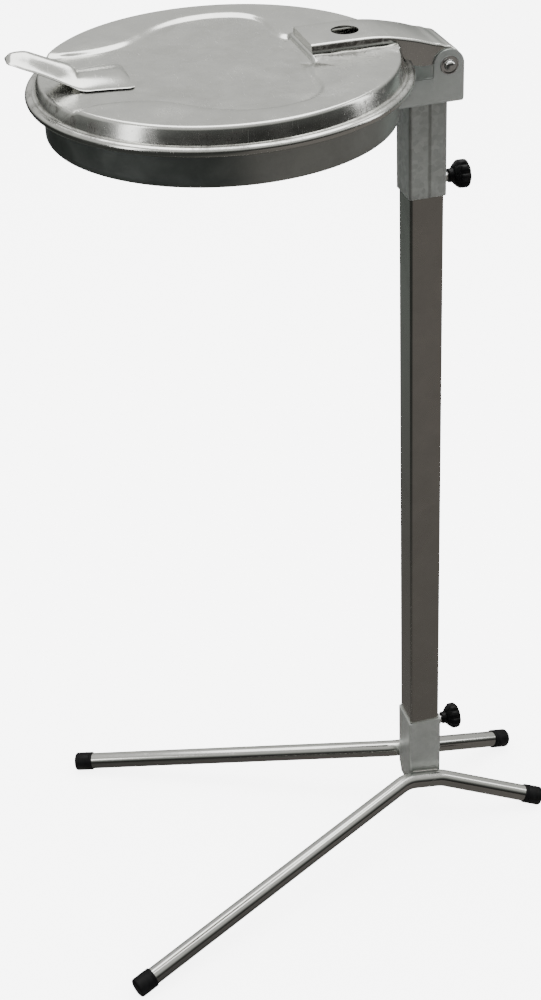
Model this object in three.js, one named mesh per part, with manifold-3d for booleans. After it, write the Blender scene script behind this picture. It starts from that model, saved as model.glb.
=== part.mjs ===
// Free-standing sack holder with a hinged lid. Units: millimetres, +Z up, floor at z = 0.
// The front (handle) points to -Y, the post stands on the origin, the part is mirrored in X.
import * as THREE from 'three';
import { mergeVertices } from 'three/addons/utils/BufferGeometryUtils.js';
import Module from 'manifold-3d';

// ---------------------------------------------------------------- driving sizes
const GAP = 0.3;               // air between touching pieces
const POST_W = 40;             // square post, outside
const POST_WALL = 2;
const SLEEVE_WALL = 2;
const SOCKET_BOTTOM = 40;      // heights above the floor
const SOCKET_TOP = 157;
const POST_TOP = 1000;
const SLEEVE_BOTTOM = POST_TOP - 73;        // the sleeve at its middle setting
const SLEEVE_TOP = SLEEVE_BOTTOM + 113.7;
const POST_BOTTOM = SOCKET_BOTTOM + 17;
const CRIMP_TOP = SOCKET_BOTTOM + 18;          // the socket is squeezed in below this height
const CRIMP_IN = 2;
const LEG_R = 11;              // leg tube
const LEG_WALL = 1.5;
const LEG_BEND = 45;           // bend radius of the leg centreline
const LEG_FRONT = [211, -450]; // end of a front leg, plan view
const LEG_REAR = [62, 155];
const LEG_HIGH_FRONT = 69.5;   // leg centre height at the front bend
const LEG_HIGH_REAR = 61;
const LEG_BEND_FRONT = -29.8;  // bend corners along Y
const LEG_BEND_REAR = 19.4;
const CAP_R = LEG_R + 1.6;
const CAP_LEN = 25;
const CLAMP_UP_Z = SLEEVE_BOTTOM + 13.5;
const CLAMP_LOW_Z = SOCKET_TOP - 20.5;
const STUD_R = 4;
const NUT_AF = 13;             // across flats
const NUT_T = 6.5;
const KNOB_R = 17;
const LOBE_DEPTH = 2.6;         // how deep the grip flutes of a knob are
const KNOB_HUB_R = 8;
const KNOB_START = 9;          // knob hub starts this far behind the sleeve face
const PIN_Y = 17.5;
const PIN_Z = SLEEVE_TOP + 44.8;
const PIN_R = 5;
const CHEEK_OUT = 37;          // half width of the hinge bracket
const CHEEK_T = 2.5;
const CHEEK_TOP = SLEEVE_TOP + 31.3;
const EAR_R = 17.2;
const BRACKET_BEND = 8;        // outer bend radius along the bracket's bottom
const LID_R = 205.5;           // over the rolled rim
const LID_Y = -(LID_R + 20);   // lid centre
const LID_T = 1.2;
const BEAD_R = 5;
const BEAD_Z = PIN_Z + 5.5;
const PANEL_Z = BEAD_Z + 18;          // lower middle panel
const CREST_Z = PANEL_Z + 4;          // two raised side fields
const BOSS_Z = PANEL_Z + 7.6;         // raised seat below the hinge arm
const RING_R = LID_R - 17.5;
const RING_T = 1.5;
const RING_BOTTOM = BEAD_Z - 42;
const RING_TOP = BEAD_Z + 10;
const ARM_TOP = BOSS_Z + 9.9;
const ARM_T = 2;
const ARM_HOLE_R = 15;
const ARM_HOLE_Y = LID_Y + LID_R - 67;        // hole centre
const ARM_REACH = LID_R - 114;        // arm front edge, behind the lid centre

const wasm = await Module();
wasm.setup();
const group = new THREE.Group();
group.name = 'sack_holder';

// ---------------------------------------------------------------- helpers
const V = (x, y, z) => new THREE.Vector3(x, y, z);
const SLEEVE_H = POST_W / 2 + GAP + SLEEVE_WALL;   // half width of both sleeves

function signedVolume(pos, idx) {
  let v = 0;
  const a = V(0, 0, 0);
  const b = V(0, 0, 0);
  const c = V(0, 0, 0);
  for (let i = 0; i < idx.length; i += 3) {
    a.fromArray(pos, idx[i] * 3);
    b.fromArray(pos, idx[i + 1] * 3);
    c.fromArray(pos, idx[i + 2] * 3);
    v += a.dot(b.cross(c)) / 6;
  }
  return v;
}

function solid(pos, idx) {
  if (signedVolume(pos, idx) < 0) {
    for (let i = 0; i < idx.length; i += 3) {
      [idx[i + 1], idx[i + 2]] = [idx[i + 2], idx[i + 1]];
    }
  }
  const g = new THREE.BufferGeometry();
  g.setAttribute('position', new THREE.Float32BufferAttribute(pos, 3));
  g.setIndex(idx);
  return g;
}

function bare(geometry) {
  const g = geometry.clone();
  g.deleteAttribute('normal');
  g.deleteAttribute('uv');
  return mergeVertices(g, 1e-4);
}

function toManifold(geometry) {
  const g = bare(geometry);
  return new wasm.Manifold(new wasm.Mesh({
    numProp: 3,
    vertProperties: new Float32Array(g.attributes.position.array),
    triVerts: new Uint32Array(g.index.array),
  }));
}

function fromManifold(m) {
  const mesh = m.getMesh();
  const g = new THREE.BufferGeometry();
  g.setAttribute('position', new THREE.BufferAttribute(new Float32Array(mesh.vertProperties), 3));
  g.setIndex(new THREE.BufferAttribute(new Uint32Array(mesh.triVerts), 1));
  return g;
}

function join(list, cuts = []) {
  let m = toManifold(list[0]);
  for (const g of list.slice(1)) m = m.add(toManifold(g));
  for (const g of cuts) m = m.subtract(toManifold(g));
  return fromManifold(m);
}

// Closed body through a row of closed rings; flat gives the 2-D outline used for both end faces.
function loft(rings, flat) {
  const n = rings[0].length;
  const pos = rings.flatMap((ring) => ring.flatMap((p) => [p.x, p.y, p.z]));
  const idx = [];
  for (let i = 0; i + 1 < rings.length; i++) {
    for (let j = 0; j < n; j++) {
      const k = (j + 1) % n;
      idx.push(i * n + j, i * n + k, (i + 1) * n + k);
      idx.push(i * n + j, (i + 1) * n + k, (i + 1) * n + j);
    }
  }
  const last = (rings.length - 1) * n;
  for (const [a, b, c] of THREE.ShapeUtils.triangulateShape(flat, [])) {
    idx.push(a, c, b);
    idx.push(last + a, last + b, last + c);
  }
  const side = THREE.ShapeUtils.isClockWise(flat);
  if (side) {
    // side walls and end faces must agree about which way is out
    for (let i = 0; i < (rings.length - 1) * n * 6; i += 3) {
      [idx[i + 1], idx[i + 2]] = [idx[i + 2], idx[i + 1]];
    }
  }
  return solid(pos, idx);
}

// Closed hollow body: outer rings, inner rings and two ring-shaped end faces.
function shell(outer, inner) {
  const n = outer[0].length;
  const s = outer.length;
  const pos = [...outer, ...inner].flatMap((ring) => ring.flatMap((p) => [p.x, p.y, p.z]));
  const idx = [];
  const at = (layer, i, j) => layer * s * n + i * n + (j % n);
  for (let i = 0; i + 1 < s; i++) {
    for (let j = 0; j < n; j++) {
      idx.push(at(0, i, j), at(0, i, j + 1), at(0, i + 1, j + 1));
      idx.push(at(0, i, j), at(0, i + 1, j + 1), at(0, i + 1, j));
      idx.push(at(1, i, j), at(1, i + 1, j + 1), at(1, i, j + 1));
      idx.push(at(1, i, j), at(1, i + 1, j), at(1, i + 1, j + 1));
    }
  }
  for (let j = 0; j < n; j++) {
    idx.push(at(0, 0, j), at(1, 0, j + 1), at(0, 0, j + 1));
    idx.push(at(0, 0, j), at(1, 0, j), at(1, 0, j + 1));
    idx.push(at(0, s - 1, j), at(0, s - 1, j + 1), at(1, s - 1, j + 1));
    idx.push(at(0, s - 1, j), at(1, s - 1, j + 1), at(1, s - 1, j));
  }
  return solid(pos, idx);
}

// Rounded square outline, half width h, corner radius r, at height z.
function squareRing(h, r, z, steps = 3) {
  const out = [];
  for (let q = 0; q < 4; q++) {
    const cx = (q === 0 || q === 3 ? 1 : -1) * (h - r);
    const cy = (q < 2 ? 1 : -1) * (h - r);
    for (let i = 0; i <= steps; i++) {
      const a = (q + i / steps) * Math.PI / 2;
      out.push(V(cx + r * Math.cos(a), cy + r * Math.sin(a), z));
    }
  }
  return out;
}

// Circle of radius r about centre c, in the plane square to direction d.
function circleRing(c, d, r, n) {
  const u = V(-d.y, d.x, 0).normalize();
  const w = d.clone().cross(u).normalize();
  return Array.from({ length: n }, (_, i) => {
    const a = i / n * Math.PI * 2;
    return c.clone().addScaledVector(u, r * Math.cos(a)).addScaledVector(w, r * Math.sin(a));
  });
}

function lathe(points, segments, axis, origin) {
  const g = new THREE.LatheGeometry(points.map(([r, h]) => new THREE.Vector2(r, h)), segments);
  const m = new THREE.Matrix4().makeRotationFromQuaternion(
    new THREE.Quaternion().setFromUnitVectors(V(0, 1, 0), axis.clone().normalize()));
  g.applyMatrix4(m);
  g.translate(origin.x, origin.y, origin.z);
  const b = bare(g);
  return solid(Array.from(b.attributes.position.array), Array.from(b.index.array)
    .reduce((keep, _, i, all) => {
      if (i % 3) return keep;
      const [p, q, r] = [all[i], all[i + 1], all[i + 2]];
      if (p !== q && q !== r && r !== p) keep.push(p, q, r);
      return keep;
    }, []));
}

function cylinder(radius, from, to, segments = 24) {
  const d = to.clone().sub(from);
  const len = d.length();
  return lathe([[0, 0], [radius, 0], [radius, len], [0, len]], segments, d, from);
}

function add(name, geometry, color, metalness, roughness) {
  const g = bare(geometry);
  g.computeVertexNormals();
  const mesh = new THREE.Mesh(g, new THREE.MeshStandardMaterial({ color, metalness, roughness }));
  mesh.name = name;
  group.add(mesh);
  return mesh;
}
const zinc = (name, g) => add(name, g, 0xb4b8b4, 0.9, 0.4);
const bright = (name, g) => add(name, g, 0xc8ccc8, 1.0, 0.2);
const black = (name, g) => add(name, g, 0x161616, 0.0, 0.5);

// ---------------------------------------------------------------- legs and foot caps
// Rounded outer edge of a foot cap: radius, distance from its end face.
const CAP_EDGE = [[CAP_R - 2.5, 0], [CAP_R - 0.8, 0.9], [CAP_R, 2.8]];
// Height of a cap's end centre that lets its lowest point touch the floor.
function restHeight(end, high, bendY) {
  const run = Math.hypot(end[0] - SLEEVE_H - GAP - LEG_R, end[1] - bendY);
  const slope = Math.atan2(high - CAP_R, run);
  return Math.max(...CAP_EDGE.map(([r, a]) => r * Math.cos(slope) - a * Math.sin(slope)));
}
function legStations(side) {
  const frontZ = restHeight(LEG_FRONT, LEG_HIGH_FRONT, LEG_BEND_FRONT);
  const rearZ = restHeight(LEG_REAR, LEG_HIGH_REAR, LEG_BEND_REAR);
  const corners = [
    V(side * LEG_FRONT[0], LEG_FRONT[1], frontZ),
    V(side * (SLEEVE_H + GAP + LEG_R), LEG_BEND_FRONT, LEG_HIGH_FRONT),
    V(side * (SLEEVE_H + GAP + LEG_R), LEG_BEND_REAR, LEG_HIGH_REAR),
    V(side * LEG_REAR[0], LEG_REAR[1], rearZ),
  ];
  const inset = 3.3;
  const first = corners[1].clone().sub(corners[0]).normalize();
  const last = corners[3].clone().sub(corners[2]).normalize();
  const out = [{ p: corners[0].clone().addScaledVector(first, inset), d: first }];
  for (let i = 1; i < 3; i++) {
    const a = corners[i].clone().sub(corners[i - 1]).normalize();
    const b = corners[i + 1].clone().sub(corners[i]).normalize();
    const turn = a.angleTo(b);
    const t = LEG_BEND * Math.tan(turn / 2);
    const start = corners[i].clone().addScaledVector(a, -t);
    const toCentre = b.clone().sub(a.clone().multiplyScalar(a.dot(b))).normalize();
    const centre = start.clone().addScaledVector(toCentre, LEG_BEND);
    const steps = 5;
    for (let k = 0; k <= steps; k++) {
      const f = turn * k / steps;
      const d = a.clone().multiplyScalar(Math.cos(f)).addScaledVector(toCentre, Math.sin(f));
      const p = centre.clone().addScaledVector(toCentre, -LEG_BEND * Math.cos(f))
        .addScaledVector(a, LEG_BEND * Math.sin(f));
      out.push({ p, d });
    }
  }
  out.push({ p: corners[3].clone().addScaledVector(last, -inset), d: last });
  return { out, corners, first, last };
}

for (const [side, word] of [[1, 'right'], [-1, 'left']]) {
  const { out, corners, first, last } = legStations(side);
  const outer = out.map(({ p, d }) => circleRing(p, d, LEG_R, 20));
  const inner = out.map(({ p, d }) => circleRing(p, d, LEG_R - LEG_WALL, 20));
  bright(`leg_tube_${word}`, shell(outer, inner));
  const cap = (end, inward) => lathe([
    [0, 0], ...CAP_EDGE, [CAP_R, CAP_LEN - 0.8],
    [CAP_R - 0.8, CAP_LEN], [LEG_R + GAP, CAP_LEN], [LEG_R + GAP, 3], [0, 3],
  ], 22, inward, end);
  black(`foot_cap_front_${word}`, cap(corners[0], first));
  black(`foot_cap_rear_${word}`, cap(corners[3], last.clone().negate()));
}

// ---------------------------------------------------------------- square tubes
const studHole = (z) => cylinder(STUD_R + GAP, V(0, POST_W / 2, z), V(0, SLEEVE_H + 2, z), 20);
const clearIn = POST_W / 2 + GAP;
const socket = shell(
  [squareRing(SLEEVE_H - CRIMP_IN, 3, SOCKET_BOTTOM), squareRing(SLEEVE_H, 3, CRIMP_TOP),
    squareRing(SLEEVE_H, 3, SOCKET_TOP)],
  [squareRing(clearIn - CRIMP_IN, 2, SOCKET_BOTTOM), squareRing(clearIn, 2, CRIMP_TOP),
    squareRing(clearIn, 2, SOCKET_TOP)]);
zinc('base_socket', join([socket], [studHole(CLAMP_LOW_Z)]));

const sleeve = shell(
  [squareRing(SLEEVE_H, 3, SLEEVE_BOTTOM), squareRing(SLEEVE_H, 3, SLEEVE_TOP)],
  [squareRing(clearIn, 2, SLEEVE_BOTTOM), squareRing(clearIn, 2, SLEEVE_TOP)]);
const seam = new THREE.BoxGeometry(1, 4, SLEEVE_TOP - SLEEVE_BOTTOM + 2);
seam.translate(SLEEVE_H + 0.1, 1.5, (SLEEVE_TOP + SLEEVE_BOTTOM) / 2);
zinc('upper_sleeve', join([sleeve], [studHole(CLAMP_UP_Z), seam]));

const postIn = POST_W / 2 - POST_WALL;
zinc('post', shell(
  [squareRing(POST_W / 2, 3, POST_BOTTOM), squareRing(POST_W / 2, 3, POST_TOP)],
  [squareRing(postIn, 1.5, POST_BOTTOM), squareRing(postIn, 1.5, POST_TOP)]));
const plugOutline = (ring) => ring.map((p) => new THREE.Vector2(p.x, p.y));
const plugRings = (h, levels) => levels.map(([inset, z]) => squareRing(h - inset, 1.5, z));
const plugTop = plugRings(postIn - GAP, [[0.8, POST_TOP - 18], [0, POST_TOP - 12], [0, POST_TOP]]);
const plugHead = [squareRing(POST_W / 2 - 0.2, 3, POST_TOP + GAP),
  squareRing(POST_W / 2 - 0.2, 3, POST_TOP + 2), squareRing(POST_W / 2 - 1.2, 2.2, POST_TOP + 3)];
const neck = new THREE.BoxGeometry(30, 30, 6);
neck.translate(0, 0, POST_TOP - 1);
black('post_plug', join([
  loft(plugTop, plugOutline(plugTop[0])), loft(plugHead, plugOutline(plugHead[0])), neck]));

// ---------------------------------------------------------------- clamps
for (const [word, z] of [['upper', CLAMP_UP_Z], ['lower', CLAMP_LOW_Z]]) {
  const face = SLEEVE_H + GAP;
  const hexR = NUT_AF / Math.sqrt(3);
  const nut = lathe([[0, 0], [hexR - 0.6, 0], [hexR, 0.6], [hexR, NUT_T - 0.6], [hexR - 0.6, NUT_T],
    [0, NUT_T]], 6, V(0, 1, 0), V(0, face, z));
  zinc(`clamp_nut_${word}`, join([nut],
    [cylinder(STUD_R + GAP, V(0, face - 1, z), V(0, face + NUT_T + 1, z), 20)]));
  const hub = SLEEVE_H + KNOB_START;
  const tip = POST_W / 2 + 0.15;
  const stud = lathe([[0, 0], [STUD_R - 1, 0], [STUD_R, 1], [STUD_R, hub + 12 - tip],
    [0, hub + 12 - tip]], 20, V(0, 1, 0), V(0, tip, z));
  zinc(`clamp_screw_${word}`, stud);
  const lobes = 8;
  const star = (scale) => {
    const out = [];
    const n = lobes * 6;
    for (let i = 0; i < n; i++) {
      const a = i / n * Math.PI * 2;
      const wave = Math.abs(Math.cos(lobes / 2 * a));
      const r = (KNOB_R - LOBE_DEPTH * Math.pow(1 - wave, 1.6)) * scale;
      out.push(new THREE.Vector2(r * Math.cos(a), r * Math.sin(a)));
    }
    return out;
  };
  const level = ([scale, y]) => star(scale).map((p) => V(p.x, hub + y, z + p.y));
  const body = loft([[0.55, 6], [0.72, 8.2], [0.92, 11.9], [1, 14.8], [1, 20], [0.88, 23.4], [0.68, 24.6]]
    .map(level), star(1));
  const neckLow = lathe([[0, 0], [KNOB_HUB_R - 0.6, 0], [KNOB_HUB_R, 0.6], [KNOB_HUB_R + 1, 10],
    [0, 10]], 28, V(0, 1, 0), V(0, hub, z));
  black(`knob_${word}`, join([body, neckLow],
    [cylinder(STUD_R + GAP, V(0, hub - 1, z), V(0, hub + 12.4, z), 20)]));
}

// ---------------------------------------------------------------- hinge bracket
const ringBack = LID_Y + Math.sqrt(RING_R ** 2 - (CHEEK_OUT - CHEEK_T) ** 2) + GAP;
const bracketRear = PIN_Y + EAR_R;
const floorZ = SLEEVE_TOP + GAP;
function channelOutline(half, t, low, high, r) {
  const pts = [[half, high], [half, low + r]];
  for (let i = 1; i <= 4; i++) {
    const a = i / 4 * Math.PI / 2;
    pts.push([half - r + r * Math.cos(a), low + r - r * Math.sin(a)]);
  }
  const left = pts.slice().reverse().map(([x, z]) => [-x, z]);
  const inner = [[-(half - t), high], [-(half - t), low + t + r - t]];
  for (let i = 1; i <= 4; i++) {
    const a = i / 4 * Math.PI / 2;
    inner.push([-(half - r) - (r - t) * Math.cos(a), low + r - (r - t) * Math.sin(a)]);
  }
  const innerRight = inner.slice().reverse().map(([x, z]) => [-x, z]);
  return [...pts, ...left, ...inner, ...innerRight];
}
const uShape = channelOutline(CHEEK_OUT, CHEEK_T, floorZ, CHEEK_TOP, BRACKET_BEND);
const uFlat = uShape.map(([x, z]) => new THREE.Vector2(x, z));
const channel = loft([ringBack, bracketRear].map((y) => uShape.map(([x, z]) => V(x, y, z))), uFlat);
const earOutline = [[bracketRear, floorZ + 12], [bracketRear, PIN_Z]];
for (let i = 1; i < 16; i++) {
  const a = i / 16 * Math.PI;
  earOutline.push([PIN_Y + EAR_R * Math.cos(a), PIN_Z + EAR_R * Math.sin(a)]);
}
earOutline.push([PIN_Y - EAR_R, PIN_Z], [PIN_Y - EAR_R, CHEEK_TOP + 3]);
earOutline.push([PIN_Y - EAR_R - 3, CHEEK_TOP - 0.01], [PIN_Y - EAR_R - 3, floorZ + 12]);
const earFlat = earOutline.map(([y, z]) => new THREE.Vector2(y, z));
const ear = (side) => loft([CHEEK_OUT - CHEEK_T, CHEEK_OUT].map((x) =>
  earOutline.map(([y, z]) => V(side * x, y, z))), earFlat);
zinc('hinge_bracket', join([channel, ear(1), ear(-1)],
  [cylinder(PIN_R + GAP, V(-CHEEK_OUT - 3, PIN_Y, PIN_Z), V(CHEEK_OUT + 3, PIN_Y, PIN_Z), 28)]));

bright('hinge_pin', cylinder(PIN_R, V(-CHEEK_OUT - 3, PIN_Y, PIN_Z), V(CHEEK_OUT + 3, PIN_Y, PIN_Z), 24));
for (const [side, word] of [[1, 'right'], [-1, 'left']]) {
  const bore = PIN_R + GAP;
  const dome = [[5, 0.4], [5.2, 0.7], [4.9, 1.1], [3.3, 1.1], [1.3, 1.4], [0.9, 2.6], [0.4, 4]];
  bright(`pin_cap_${word}`, lathe([
    [bore, 0], ...dome.map(([r, h]) => [bore + r, h]), [bore * 0.8, 5.4], [bore * 0.42, 6.2],
    [0, 6.4], [0, 3.4], [bore, 3.4], [bore, 0],
  ], 24, V(side, 0, 0), V(side * (CHEEK_OUT + GAP), PIN_Y, PIN_Z)));
}

// ---------------------------------------------------------------- bag ring
bright('bag_ring', lathe([
  [RING_R - RING_T, RING_BOTTOM + 1.5], [RING_R - RING_T + 0.5, RING_BOTTOM], [RING_R, RING_BOTTOM],
  [RING_R, RING_TOP], [RING_R - RING_T, RING_TOP], [RING_R - RING_T, RING_BOTTOM + 1.5],
], 96, V(0, 0, 1), V(0, LID_Y, 0)));

// ---------------------------------------------------------------- lid
// Outline of the lower middle panel, half plan, seen from the lid centre: [x, y].
const PANEL_EDGE = [
  [92, -173], [84, -159], [80, -143], [79, -119], [83, -99], [92, -79], [106, -63], [128, -40],
  [143, -14], [148, 11], [147, 31], [140, 53], [127, 68], [108, 76], [88, 77], [68, 77], [50, 81],
  [40, ARM_REACH],
].map(([x, y]) => ({ a: Math.atan2(y, x), r: Math.hypot(x, y) }));
const FLAT_R = LID_R - 18;     // where the top starts to bend down
function panelRadius(angle) {
  const x = Math.abs(Math.cos(angle));
  const a = Math.atan2(Math.sin(angle), x);
  if (a < PANEL_EDGE[0].a) return null;
  const back = PANEL_EDGE[PANEL_EDGE.length - 1];
  if (a >= back.a) return ARM_REACH / Math.sin(a);
  const k = PANEL_EDGE.findIndex((e) => e.a > a);
  const [p, q] = [PANEL_EDGE[k - 1], PANEL_EDGE[k]];
  return p.r + (q.r - p.r) * (a - p.a) / (q.a - p.a);
}
function lidProfile(angle) {
  const found = panelRadius(angle);
  const rin = Math.min(found ?? FLAT_R - 12, FLAT_R - 12);
  const top = found === null ? PANEL_Z : CREST_Z;
  const rim = LID_R - BEAD_R;
  const bead = (deg, r) => [rim + r * Math.cos(deg * Math.PI / 180),
    BEAD_Z + r * Math.sin(deg * Math.PI / 180)];
  const over = [[rin * 0.5, PANEL_Z], [rin, PANEL_Z], [rin + 5, top], [FLAT_R, top],
    [FLAT_R + 2.6, top - 0.9], [FLAT_R + 4, top - 3.4], [rim - 5.2, BEAD_Z + 6]];
  const outer = [150, 110, 70, 30, -10, -50, -90, -130, -160].map((d) => bead(d, BEAD_R));
  const inner = [-160, -130, -90, -50, -10, 30, 70, 110].map((d) => bead(d, BEAD_R - LID_T));
  const under = [[rim - 5.1, BEAD_Z + 1.9], [rim - 6.4, BEAD_Z + 6], [FLAT_R + 2.8, top - 3.8],
    [FLAT_R + 1.8, top - 0.9 - LID_T], [FLAT_R - 0.2, top - LID_T], [rin + 5.4, top - LID_T],
    [rin + 0.4, PANEL_Z - LID_T], [rin * 0.5, PANEL_Z - LID_T]];
  return [...over, ...outer, ...inner, ...under];
}
function lidBody(segments) {
  const pos = [];
  const idx = [];
  for (let j = 0; j < segments; j++) {
    const a = (j + 0.5) / segments * Math.PI * 2;
    for (const [r, z] of lidProfile(a)) pos.push(r * Math.cos(a), LID_Y + r * Math.sin(a), z);
  }
  const n = lidProfile(0).length;
  const top = segments * n;
  pos.push(0, LID_Y, PANEL_Z, 0, LID_Y, PANEL_Z - LID_T);
  for (let j = 0; j < segments; j++) {
    const k = (j + 1) % segments;
    idx.push(top, j * n, k * n);
    idx.push(top + 1, k * n + n - 1, j * n + n - 1);
    for (let i = 0; i + 1 < n; i++) {
      idx.push(j * n + i, j * n + i + 1, k * n + i + 1);
      idx.push(j * n + i, k * n + i + 1, k * n + i);
    }
  }
  return solid(pos, idx);
}
// Seat under the arm: a shallow pressing with steep front and gently sloping sides.
const SEAT_HALF = 36;
const SEAT_SLOPE = 40;         // how far each side runs out below the top
function seatBlock(inset, low, high) {
  const front = LID_Y + ARM_REACH;
  const rear = LID_Y + FLAT_R - 1 - inset;
  const ring = (side, out, z) => [[side, front - out], [side, rear], [-side, rear],
    [-side, front - out]].map(([x, y]) => V(x, y, z));
  const rings = [ring(SEAT_HALF + SEAT_SLOPE - inset, 4 - inset, low),
    ring(SEAT_HALF - inset, -inset, high)];
  return loft(rings, rings[0].map((p) => new THREE.Vector2(p.x, p.y)));
}
const seatLow = PANEL_Z - LID_T / 2;
zinc('lid', join([lidBody(72), seatBlock(0, seatLow, BOSS_Z)],
  [seatBlock(2 * LID_T, PANEL_Z - LID_T - 0.5, BOSS_Z - LID_T)]));

// ---------------------------------------------------------------- hinge arm on the lid
function armSection({ top, bottom, half }) {
  const up = V(0, top[0] - bottom[0], top[1] - bottom[1]);
  const h = up.length();
  up.normalize();
  const r = 3.5;
  const q = 1.03;
  const flat = [[half, 0], [half, h - r], [half - q, h - q], [half - r, h], [-half + r, h],
    [-half + q, h - q], [-half, h - r], [-half, 0], [-half + ARM_T, 0], [-half + ARM_T, h - r],
    [-half + r, h - ARM_T], [half - r, h - ARM_T], [half - ARM_T, h - r], [half - ARM_T, 0]];
  return {
    flat: flat.map(([x, t]) => new THREE.Vector2(x, t)),
    ring: flat.map(([x, t]) => V(x, bottom[0] + up.y * t, bottom[1] + up.z * t)),
  };
}
const polar = (deg, r) => [PIN_Y + r * Math.cos(deg * Math.PI / 180),
  PIN_Z + r * Math.sin(deg * Math.PI / 180)];
const lip = BOSS_Z + 0.4;
const armHalf = CHEEK_OUT - CHEEK_T - 0.7;
const armFront = LID_Y + ARM_REACH;
const lidBack = LID_Y + FLAT_R;
const stations = [
  { top: [armFront, ARM_TOP], bottom: [armFront, lip] },
  { top: [armFront + 60, ARM_TOP - 0.2], bottom: [armFront + 60, lip] },
  { top: [lidBack - 14, ARM_TOP - 2], bottom: [lidBack - 14, lip] },
  { top: [lidBack - 2, ARM_TOP - 4.2], bottom: [lidBack, lip] },
  { top: [lidBack + 10, ARM_TOP - 6.9], bottom: [lidBack + 7.5, lip - 7] },
  { top: [lidBack + 21, ARM_TOP - 9.8], bottom: [lidBack + 16, lip - 19] },
  { top: [lidBack + 30, ARM_TOP - 12.7], bottom: [lidBack + 25, lip - 26] },
  { top: [PIN_Y - 15.5, PIN_Z + 24.9], bottom: [PIN_Y - 17, PIN_Z + 2] },
  { top: polar(109, 24.5), bottom: polar(150, 8) },
  { top: polar(95, 20.7), bottom: polar(110, 5.8) },
  { top: polar(78, 19.6), bottom: polar(78, 5.4) },
  { top: polar(60, 18.2), bottom: polar(60, 5.4) },
  { top: polar(35, 17.3), bottom: polar(35, 5.4) },
  { top: polar(10, 17), bottom: polar(10, 5.4) },
  { top: polar(-20, 17), bottom: polar(-20, 5.4) },
].map((s) => armSection({ ...s, half: armHalf }));
const armShell = loft(stations.map((s) => s.ring), stations[0].flat);
const armNose = new THREE.BoxGeometry(2 * armHalf - 3, ARM_T, ARM_TOP - lip - 1.5);
armNose.translate(0, armFront + ARM_T / 2 + 0.01, (ARM_TOP + lip) / 2 - 0.6);
zinc('hinge_arm', join([armShell, armNose], [
  cylinder(ARM_HOLE_R, V(0, ARM_HOLE_Y, ARM_TOP - 6), V(0, ARM_HOLE_Y, ARM_TOP + 4), 40)]));

// ---------------------------------------------------------------- handle
const HANDLE = [   // distance behind the rim's front, height over the panel, half width, crown
  [-16, 32.5, 8, 0.4], [-14, 32.8, 13.5, 4], [-9, 32, 18, 8.5], [0, 28, 20.5, 12.5],
  [11, 23, 21.3, 12.8], [27, 14.5, 21.5, 13.5], [36, 9.5, 22, 14.5], [43, 6, 24, 14.5],
  [49, 3.6, 28, 12.5], [54, 2.3, 32, 9], [60, 1.9, 35, 6.8], [71, 1.9, 36.5, 5.6],
  [86, 1.9, 39, 5], [101, 1.9, 42, 3.5], [107, 1.9, 40, 0.6],
].map(([y, z, w, rib]) => [LID_Y - LID_R + y, PANEL_Z + z, w, rib]);
const HANDLE_T = 1.5;
const handleRings = HANDLE.map(([y, z, w, rib], i) => {
  const before = HANDLE[Math.max(i - 1, 0)];
  const after = HANDLE[Math.min(i + 1, HANDLE.length - 1)];
  const t = V(0, after[0] - before[0], after[1] - before[1]).normalize();
  const up = V(0, -t.z, t.y);
  const bow = [[1, 0], [0.86, 0.06], [0.66, 0.34], [0.4, 0.77], [0.16, 0.97], [0, 1]];
  const line = [...bow.map(([x, h]) => [-x * w, h * rib]),
    ...bow.slice(0, -1).reverse().map(([x, h]) => [x * w, h * rib])];
  const both = [...line, ...line.slice().reverse().map(([x, h]) => [x, h - HANDLE_T])];
  return {
    ring: both.map(([x, h]) => V(x, y + up.y * h, z + up.z * h)),
    flat: both.map(([x, h]) => new THREE.Vector2(x, h)),
  };
});
bright('handle', loft(handleRings.map((r) => r.ring), handleRings[3].flat));

// ---------------------------------------------------------------- origin under the middle of the box
const box = new THREE.Box3().setFromObject(group);
group.position.set(0, -(box.min.y + box.max.y) / 2, -box.min.z);

export default group;
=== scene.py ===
"""Looks of a free-standing waste sack stand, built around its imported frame."""
import math
import bmesh
import bpy
from mathutils import Matrix, Vector, noise


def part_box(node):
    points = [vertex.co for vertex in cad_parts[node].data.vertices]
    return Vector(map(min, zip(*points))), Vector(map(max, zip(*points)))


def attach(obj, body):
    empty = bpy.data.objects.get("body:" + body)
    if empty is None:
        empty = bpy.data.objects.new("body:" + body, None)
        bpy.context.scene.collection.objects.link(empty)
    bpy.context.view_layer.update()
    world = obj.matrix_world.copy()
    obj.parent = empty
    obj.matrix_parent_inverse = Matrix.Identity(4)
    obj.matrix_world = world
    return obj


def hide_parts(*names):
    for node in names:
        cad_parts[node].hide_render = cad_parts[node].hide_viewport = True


bl_info = {
    "name": "Sack stand",
    "version": (1, 0, 0),
    "blender": (4, 5, 0),
    "location": "View3D > Sidebar > Sack stand",
    "description": "Makes the visible pieces of a waste sack stand with a hinged lid",
    "category": "Object",
}

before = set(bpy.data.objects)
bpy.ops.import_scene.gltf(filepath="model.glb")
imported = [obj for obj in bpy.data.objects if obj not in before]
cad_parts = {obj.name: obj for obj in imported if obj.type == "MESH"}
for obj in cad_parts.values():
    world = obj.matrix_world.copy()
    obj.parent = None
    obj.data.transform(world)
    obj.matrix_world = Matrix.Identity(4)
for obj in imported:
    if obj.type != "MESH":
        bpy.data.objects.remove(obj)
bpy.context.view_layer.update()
MM = 0.001
TURN = 2 * math.pi


def box_middle(node):
    """Middle of a frame node's box."""
    low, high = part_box(node)
    return (low + high) / 2


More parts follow.
